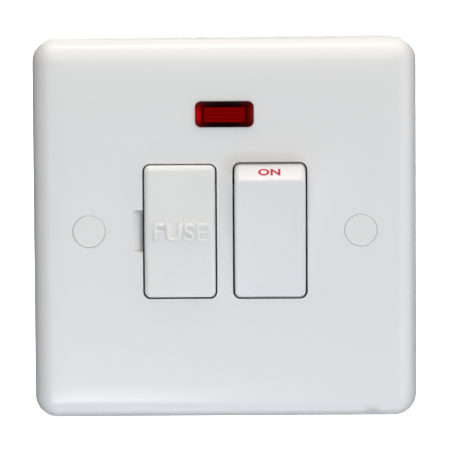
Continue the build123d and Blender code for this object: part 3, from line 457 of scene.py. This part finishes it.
def screwTree():
    tree = bpy.data.node_groups.new("rolledScrews", "GeometryNodeTree")
    sockets = {"Places": "Geometry", "Blank": "Object", "Slot Size": "Vector", "Slot At": "Vector",
               "Cross": "Bool", "Pitch": "Float", "Crest Radius": "Float", "Tooth": "Float",
               "Thread Length": "Float", "Thread At": "Vector", "Turn": "Vector", "Material": "Material"}
    for name, kind in sockets.items():
        tree.interface.new_socket(name, in_out="INPUT", socket_type="NodeSocket" + kind)
    tree.interface.new_socket("Screws", in_out="OUTPUT", socket_type="NodeSocketGeometry")
    given = addNode(tree, "NodeGroupInput").outputs

    blank = addNode(tree, "GeometryNodeObjectInfo", {"Object": given["Blank"]})
    slotBox = addNode(tree, "GeometryNodeMeshCube", {"Size": given["Slot Size"]})
    slot = addNode(tree, "GeometryNodeTransform", {"Geometry": slotBox, "Translation": given["Slot At"]})
    slotAcross = addNode(tree, "GeometryNodeTransform", {
        "Geometry": slot, "Rotation": (0.0, 0.0, math.pi / 2)})
    crossed = addNode(tree, "GeometryNodeSwitch", {"Switch": given["Cross"], "True": slotAcross},
                      input_type="GEOMETRY")
    slotted = addNode(tree, "GeometryNodeMeshBoolean", {
        "Mesh 1": blank.outputs["Geometry"], "Mesh 2": [slot, crossed]}, operation="DIFFERENCE")

    # a three-cornered tooth follows a spiral up the shank
    turns = addNode(tree, "ShaderNodeMath", {0: given["Thread Length"], 1: given["Pitch"]},
                    operation="DIVIDE")
    reach = addNode(tree, "ShaderNodeMath", {0: given["Crest Radius"], 1: given["Tooth"]},
                    operation="SUBTRACT")
    spiral = addNode(tree, "GeometryNodeCurveSpiral", {
        "Resolution": rolling["threadSteps"], "Rotations": turns, "Start Radius": reach, "End Radius": reach,
        "Height": given["Thread Length"]})
    upright = addNode(tree, "GeometryNodeSetCurveNormal", {"Curve": spiral}, mode="Z_UP")
    tooth = addNode(tree, "GeometryNodeCurvePrimitiveCircle", {
        "Resolution": rolling["toothCorners"], "Radius": given["Tooth"]})
    thread = addNode(tree, "GeometryNodeCurveToMesh", {
        "Curve": upright, "Profile Curve": tooth, "Fill Caps": True})
    rolled = addNode(tree, "GeometryNodeTransform", {"Geometry": thread, "Translation": given["Thread At"]})

    screw = addNode(tree, "GeometryNodeJoinGeometry", {"Geometry": [slotted, rolled]})
    turned = addNode(tree, "FunctionNodeEulerToRotation", {"Euler": given["Turn"]})
    placed = addNode(tree, "GeometryNodeInstanceOnPoints", {
        "Points": given["Places"], "Instance": screw, "Rotation": turned})
    real = addNode(tree, "GeometryNodeRealizeInstances", {"Geometry": placed})
    dressed = addNode(tree, "GeometryNodeSetMaterial", {"Geometry": real, "Material": given["Material"]})
    addNode(tree, "NodeGroupOutput", {"Screws": dressed})
    return tree


clampPlaces = ((6.0, -25.0), (16.5, -25.0), (-16.5, 25.0), (16.5, 25.0), (-15.75, -25.0), (-8.25, -25.0))
screws = {
    "fixing_screws": {  # into the wall box, heads under the caps
        "places": [(x, -5.3, 0.0) for x in (-30.15, 30.15)], "headTo": "room", "slot": "plated_steel",
        "look": zincSteel, "headRadius": 3.2, "headHeight": 2.4, "headBevel": 0.5,
        "slotSize": (8.0, 1.0, 1.1), "cross": False, "neckRadius": 1.55, "neckLength": 5.0,
        "crestRadius": 1.75, "rootRadius": 1.36, "pitch": 0.6, "length": 25.0, "point": 0.8},
    "housing_screws": {  # self-tapping, through the housing into the plate
        "places": [(x, 2.0, z) for x in (-21.7, 21.7) for z in (-12.0, 12.0)], "headTo": "wall",
        "slot": "plated_steel", "look": zincSteel, "headRadius": 2.3, "headHeight": 1.8, "headBevel": 0.6,
        "slotSize": (2.7, 0.65, 1.1), "cross": True, "neckRadius": 1.0, "neckLength": 0.6,
        "crestRadius": 1.25, "rootRadius": 0.88, "pitch": 0.9, "length": 7.6, "point": 1.0},
    "terminal_screws": {  # clamp the wires, reached from behind
        "places": [(x, 12.452, z) for x, z in clampPlaces], "headTo": "wall", "slot": "screw_brass",
        "look": turnedBrass, "headRadius": 3.0, "headHeight": 2.2, "headBevel": 0.45,
        "slotSize": (7.0, 1.0, 1.2), "cross": False, "neckRadius": 1.7, "neckLength": 0.4,
        "crestRadius": 2.0, "rootRadius": 1.6, "pitch": 0.7, "length": 4.65, "point": 0.5},
}
rolledScrews = screwTree()


def turnedBlank(name, size):
    outline = [(0, size["headHeight"]), (size["headRadius"] - size["headBevel"], size["headHeight"]),
               (size["headRadius"], size["headHeight"] - size["headBevel"]), (size["headRadius"], 0),
               (size["neckRadius"], 0), (size["neckRadius"], -size["neckLength"]),
               (size["rootRadius"], -size["neckLength"]),
               (size["rootRadius"], size["point"] - size["length"]),
               (size["rootRadius"] * rolling["pointShare"], -size["length"]), (0, -size["length"])]
    turned = bmesh.new()
    verts = [turned.verts.new((r * mm, 0, z * mm)) for r, z in outline]
    edges = [turned.edges.new(pair) for pair in zip(verts, verts[1:])]
    bmesh.ops.spin(turned, geom=verts + edges, cent=(0, 0, 0), axis=(0, 0, 1), angle=2 * math.pi,
                   steps=rolling["blankSteps"], use_duplicate=False)
    bmesh.ops.remove_doubles(turned, verts=turned.verts, dist=rolling["merge"] * mm)
    bmesh.ops.recalc_face_normals(turned, faces=turned.faces)
    mesh = bpy.data.meshes.new(name)
    turned.to_mesh(mesh)
    turned.free()
    blank = bpy.data.objects.new(name, mesh)
    scene.collection.objects.link(blank)
    return blank


def makeScrews(node, size):
    blank = turnedBlank(node + "Blank", size)
    long, wide, deep = size["slotSize"]
    values = {
        "Blank": blank, "Slot Size": (long * mm, wide * mm, 2 * deep * mm),
        "Slot At": (0.0, 0.0, size["headHeight"] * mm), "Cross": size["cross"], "Pitch": size["pitch"] * mm,
        "Crest Radius": size["crestRadius"] * mm, "Tooth": size["pitch"] / 2 * mm,
        "Thread Length": (size["length"] - size["neckLength"] - size["point"]) * mm,
        "Thread At": (0.0, 0.0, (size["point"] - size["length"]) * mm),
        "Turn": (math.pi / 2 if size["headTo"] == "room" else -math.pi / 2, 0.0, 0.0),
        "Material": size["look"]}
    mesh = nodesMesh(node, rolledScrews, size["places"], values)
    bpy.data.objects.remove(blank)
    piece = plainPiece(node + "_rolled", mesh, "unit", size["look"])
    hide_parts(node)
    return piece


for node, size in screws.items():
    made = makeScrews(node, size)
    print("screws made:", node, len(made.data.polygons), "faces")

# plunger springs: a wire coiled inside each barrel of the rocker, riding with the rocker
springs = {
    "poles": {"line": 6.0, "neutral": 14.0},  # mm, X of each
    "pivotY": -2.0, "from": -6.55, "to": 0.35, "radius": 1.12, "wire": 0.4, "press": 1.0,  # mm
    "lean": 8.3, "turns": 4.0, "coilSteps": 32, "wireSides": 12,  # degrees, counts
}


def coilTree():
    tree = bpy.data.node_groups.new("coiledSpring", "GeometryNodeTree")
    sockets = {"Places": "Geometry", "Turns": "Float", "Radius": "Float", "Height": "Float",
               "Wire Radius": "Float", "Turn": "Vector", "Material": "Material"}
    for name, kind in sockets.items():
        tree.interface.new_socket(name, in_out="INPUT", socket_type="NodeSocket" + kind)
    tree.interface.new_socket("Coil", in_out="OUTPUT", socket_type="NodeSocketGeometry")
    given = addNode(tree, "NodeGroupInput").outputs
    spiral = addNode(tree, "GeometryNodeCurveSpiral", {
        "Resolution": springs["coilSteps"], "Rotations": given["Turns"], "Start Radius": given["Radius"],
        "End Radius": given["Radius"], "Height": given["Height"]})
    section = addNode(tree, "GeometryNodeCurvePrimitiveCircle", {
        "Resolution": springs["wireSides"], "Radius": given["Wire Radius"]})
    wire = addNode(tree, "GeometryNodeCurveToMesh", {
        "Curve": spiral, "Profile Curve": section, "Fill Caps": True})
    turned = addNode(tree, "FunctionNodeEulerToRotation", {"Euler": given["Turn"]})
    placed = addNode(tree, "GeometryNodeInstanceOnPoints", {
        "Points": given["Places"], "Instance": wire, "Rotation": turned})
    real = addNode(tree, "GeometryNodeRealizeInstances", {"Geometry": placed})
    dressed = addNode(tree, "GeometryNodeSetMaterial", {"Geometry": real, "Material": given["Material"]})
    addNode(tree, "NodeGroupOutput", {"Coil": dressed})
    return tree


coiledSpring = coilTree()
lean = math.radians(springs["lean"])
along = Vector((0.0, math.cos(lean), math.sin(lean)))  # from the rocker's face to the plunger
for pole, poleX in springs["poles"].items():
    pivot = Vector((poleX, springs["pivotY"], 0.0))
    node = "plunger_spring_" + pole
    mesh = nodesMesh(node, coiledSpring, [pivot + along * springs["from"]], {
        "Turns": springs["turns"], "Radius": springs["radius"] * mm, "Wire Radius": springs["wire"] / 2 * mm,
        "Height": (springs["to"] - springs["from"]) * mm, "Turn": (lean - math.pi / 2, 0.0, 0.0),
        "Material": springSteel})
    piece = plainPiece(node + "_coil", mesh, "rocker", springSteel)
    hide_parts(node)
    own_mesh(piece)
    print("spring coiled:", node, len(piece.data.polygons), "faces")

# lettering: a text is made a mesh, fitted to its real width and height, then laid on its surface
lettering = {"curveSteps": 5, "bevelSteps": 3}


def letterMesh(name, size):
    curve = bpy.data.curves.new(name, "FONT")
    curve.body = size["text"]
    curve.offset = size["weight"]
    curve.space_character = size["spacing"]
    curve.resolution_u = lettering["curveSteps"]
    holder = bpy.data.objects.new(name + "Text", curve)
    scene.collection.objects.link(holder)
    flat = bpy.data.meshes.new_from_object(holder.evaluated_get(bpy.context.evaluated_depsgraph_get()))
    xs, ys = [v.co.x for v in flat.vertices], [v.co.y for v in flat.vertices]
    scaleX, scaleY = size["width"] / (max(xs) - min(xs)), size["height"] / (max(ys) - min(ys))
    curve.extrude = size["rise"] / scaleX
    curve.bevel_depth = size["bevel"] / scaleX
    curve.offset = size["weight"] - curve.bevel_depth  # the rounding goes into the stroke, not out of it
    curve.bevel_resolution = lettering["bevelSteps"]
    mesh = bpy.data.meshes.new_from_object(holder.evaluated_get(bpy.context.evaluated_depsgraph_get()))
    bpy.data.objects.remove(holder)
    fit = Matrix.Diagonal((scaleX * mm, scaleY * mm, scaleX * size["relief"] * mm, 1.0))
    mesh.transform(fit @ Matrix.Translation((-(max(xs) + min(xs)) / 2, -(max(ys) + min(ys)) / 2, 0.0)))
    return mesh


# FUSE stands a little proud of the carrier's face
fuseWord = {"text": "FUSE", "width": 12.2, "height": 4.35, "rise": 0.05, "bevel": 0.36, "weight": 0.045,
            "spacing": 1.06, "relief": 1.5, "x": -9.85, "z": 0.0}
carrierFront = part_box("fuse_carrier")[0].y
fuseMesh = letterMesh("fuse_word", fuseWord)
fuseMesh.transform(Matrix.Translation((fuseWord["x"] * mm, carrierFront, fuseWord["z"] * mm))
                   @ Matrix.Rotation(math.pi / 2, 4, "X"))
plainPiece("fuse_word", fuseMesh, "carrier", carrierWhite)

# ON is printed on the rocker's upper flank, which is part of a cylinder round its pivot
onWord = {"text": "ON", "width": 4.95, "height": 2.1, "rise": 0.02, "bevel": 0.0, "weight": 0.035,
          "spacing": 1.06, "relief": 1.0, "x": 9.85, "pivotY": -2.0, "reach": 16.6, "angle": 54.5,
          "slices": 12}
onMesh = letterMesh("on_word", onWord)
sliced = bmesh.new()
sliced.from_mesh(onMesh)
for step in range(1, onWord["slices"]):  # cut across, so that it can bend
    at = (step / onWord["slices"] - 0.5) * onWord["height"] * mm
    bmesh.ops.bisect_plane(sliced, geom=sliced.verts[:] + sliced.edges[:] + sliced.faces[:],
                           plane_co=(0.0, at, 0.0), plane_no=(0.0, 1.0, 0.0))
sliced.to_mesh(onMesh)
sliced.free()
for v in onMesh.vertices:
    turn = math.radians(onWord["angle"]) + v.co.y / (onWord["reach"] * mm)
    away = onWord["reach"] * mm + v.co.z
    v.co = (onWord["x"] * mm + v.co.x, onWord["pivotY"] * mm - away * math.cos(turn), away * math.sin(turn))
plainPiece("on_word", onMesh, "rocker", inkRed)

# the terminals' marks stand on the housing's back, read from behind
marks = {
    "words": [("L", 6.0, -19.7), ("N", 16.5, -19.7), ("SUPPLY", 11.25, -16.3), ("E", -12.0, -19.7),
              ("L", -16.5, 19.7), ("N", 16.5, 19.7), ("LOAD", 0.0, 19.7)],  # text, x, z
    "height": 2.5, "letterWidth": 1.9, "letterGap": 0.25,  # mm, mm, share of the width
    "rise": 0.15, "bevel": 0.17, "weight": 0.04, "spacing": 1.1, "relief": 1.0,
}
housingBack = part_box("rear_housing")[1].y
marked = bmesh.new()
for word, x, z in marks["words"]:
    letters = len(word) + marks["letterGap"] * (len(word) - 1)
    mesh = letterMesh("mark" + word, {**marks, "text": word, "width": marks["letterWidth"] * letters})
    mesh.transform(Matrix.Translation((x * mm, housingBack, z * mm)) @ Matrix.Rotation(math.pi, 4, "Z")
                   @ Matrix.Rotation(math.pi / 2, 4, "X"))
    marked.from_mesh(mesh)
marksMesh = bpy.data.meshes.new("housing_marks")
marked.to_mesh(marksMesh)
marked.free()
plainPiece("housing_marks", marksMesh, "unit", housingWhite)
print("lettering made")

# stage: white floor in a small light tent, with warm light from its roof and cooler light off the table
stage = {
    "floorSize": 12.0, "floorBelow": 0.0001,  # m
    "ambient": 0.03, "white": (1.0, 1.0, 1.0, 1.0),
    "lights": [  # name, degrees right of the front, degrees up, metres away, width, height, watts, colour
        ("roof", 0, 120, 0.9, 1.0, 1.3, 3.8, "#fffff2"),
        ("roofFront", 0, 85, 0.9, 0.9, 0.25, 2.3, "#fff3e6"),
        ("upperPanel", 0, 36, 0.9, 0.9, 0.75, 2.56, "#f8fdff"),
        ("frontPanel", 0, 12, 0.9, 0.9, 0.22, 1.14, "#fffaea"),
        ("leftPanel", -30, 0, 0.9, 0.25, 0.8, 0.56, "#fafdfb"),
        ("rightPanel", 45, 0, 0.9, 0.25, 0.8, 1.42, "#fdfdff"),
        ("farRightPanel", 75, 0, 0.9, 0.25, 0.8, 1.45, "#fafbff"),
        ("backPanel", 180, -7, 0.9, 0.5, 0.5, 6.0, "#ffffff"),
        ("nearRoof", 0, 75, 0.22, 0.4, 0.1, 0.205, "#fff8f4"),
        ("tableFront", 0, -35, 0.22, 0.4, 0.1, 0.07, "#fcf8ff"),
        ("tableGlint", -14, -28, 0.3, 0.1, 0.03, 0.15, "#fcfcff"),
        ("tableFoot", 0, -60, 0.22, 0.4, 0.1, 0.107, "#b4d8ff"),
        ("underPanel", 0, -80, 0.9, 0.9, 0.22, 1.7, "#fffbf0"),
    ],
}
half = stage["floorSize"] / 2
floorZ = cadLow.z - stage["floorBelow"]
floorCorners = ((-half, -half), (half, -half), (half, half), (-half, half))
floorMesh = bpy.data.meshes.new("floor")
floorMesh.from_pydata([(x, y, floorZ) for x, y in floorCorners], [], [(0, 1, 2, 3)])
floor = bpy.data.objects.new("floor", floorMesh)
scene.collection.objects.link(floor)
floorPaint = startMaterial("white_studio_floor", "#ffffff", Roughness=0.9, Emission_Color=stage["white"],
                           Emission_Strength=1.0)[0]
floorMesh.materials.append(floorPaint)
floor.visible_diffuse = False  # it lights nothing, so that the plate's sides stay dark against it
floor.visible_glossy = False
floor.visible_transmission = False
floor.visible_shadow = False

world = bpy.data.worlds.new("studio")
scene.world = world
world.use_nodes = True
sky = world.node_tree
sky.nodes.clear()
seen, soft = [addNode(sky, "ShaderNodeBackground", {"Color": stage["white"], "Strength": strength})
              for strength in (1.0, stage["ambient"])]
ray = addNode(sky, "ShaderNodeLightPath")
both = addNode(sky, "ShaderNodeMixShader", {0: ray.outputs["Is Camera Ray"], 1: soft, 2: seen})
addNode(sky, "ShaderNodeOutputWorld", {"Surface": both})

for name, across, up, away, width, height, watts, colour in stage["lights"]:
    lamp = bpy.data.lights.new(name, "AREA")
    lamp.shape = "RECTANGLE"
    lamp.size, lamp.size_y = width, height
    lamp.energy = watts
    lamp.color = hexLinear(colour)[:3]
    holder = bpy.data.objects.new(name, lamp)
    across, up = math.radians(across), math.radians(up)
    outward = Vector((math.cos(up) * math.sin(across), -math.cos(up) * math.cos(across), math.sin(up)))
    holder.location = outward * away
    holder.rotation_euler = (-holder.location).to_track_quat("-Z", "Y").to_euler()
    scene.collection.objects.link(holder)

# camera: long lens a little above the middle, rolled a touch
view = {"elevation": 9.5, "roll": -0.35, "distance": 1.6, "clipEnd": 50.0,  # degrees, degrees, m, m
        "pxPerMm": 4.483, "imageWidth": 450, "aim": (0.0, 0.0, -0.23), "sensor": 36.0}  # aim and sensor in mm
cameraData = bpy.data.cameras.new("camera")
camera = bpy.data.objects.new("camera", cameraData)
scene.collection.objects.link(camera)
lift = math.radians(view["elevation"])
back = Vector((0.0, -math.cos(lift), math.sin(lift)))
camera.location = Vector(view["aim"]) * mm + back * view["distance"]
camera.rotation_euler = ((-back).to_track_quat("-Z", "Y").to_matrix()
                         @ Matrix.Rotation(math.radians(view["roll"]), 3, "Z")).to_euler()
cameraData.sensor_width = view["sensor"]
cameraData.lens = view["sensor"] * view["distance"] / (view["imageWidth"] / view["pxPerMm"] * mm)
cameraData.clip_end = view["clipEnd"]
scene.camera = camera
scene.view_settings.view_transform = "Standard"
print("stage set")
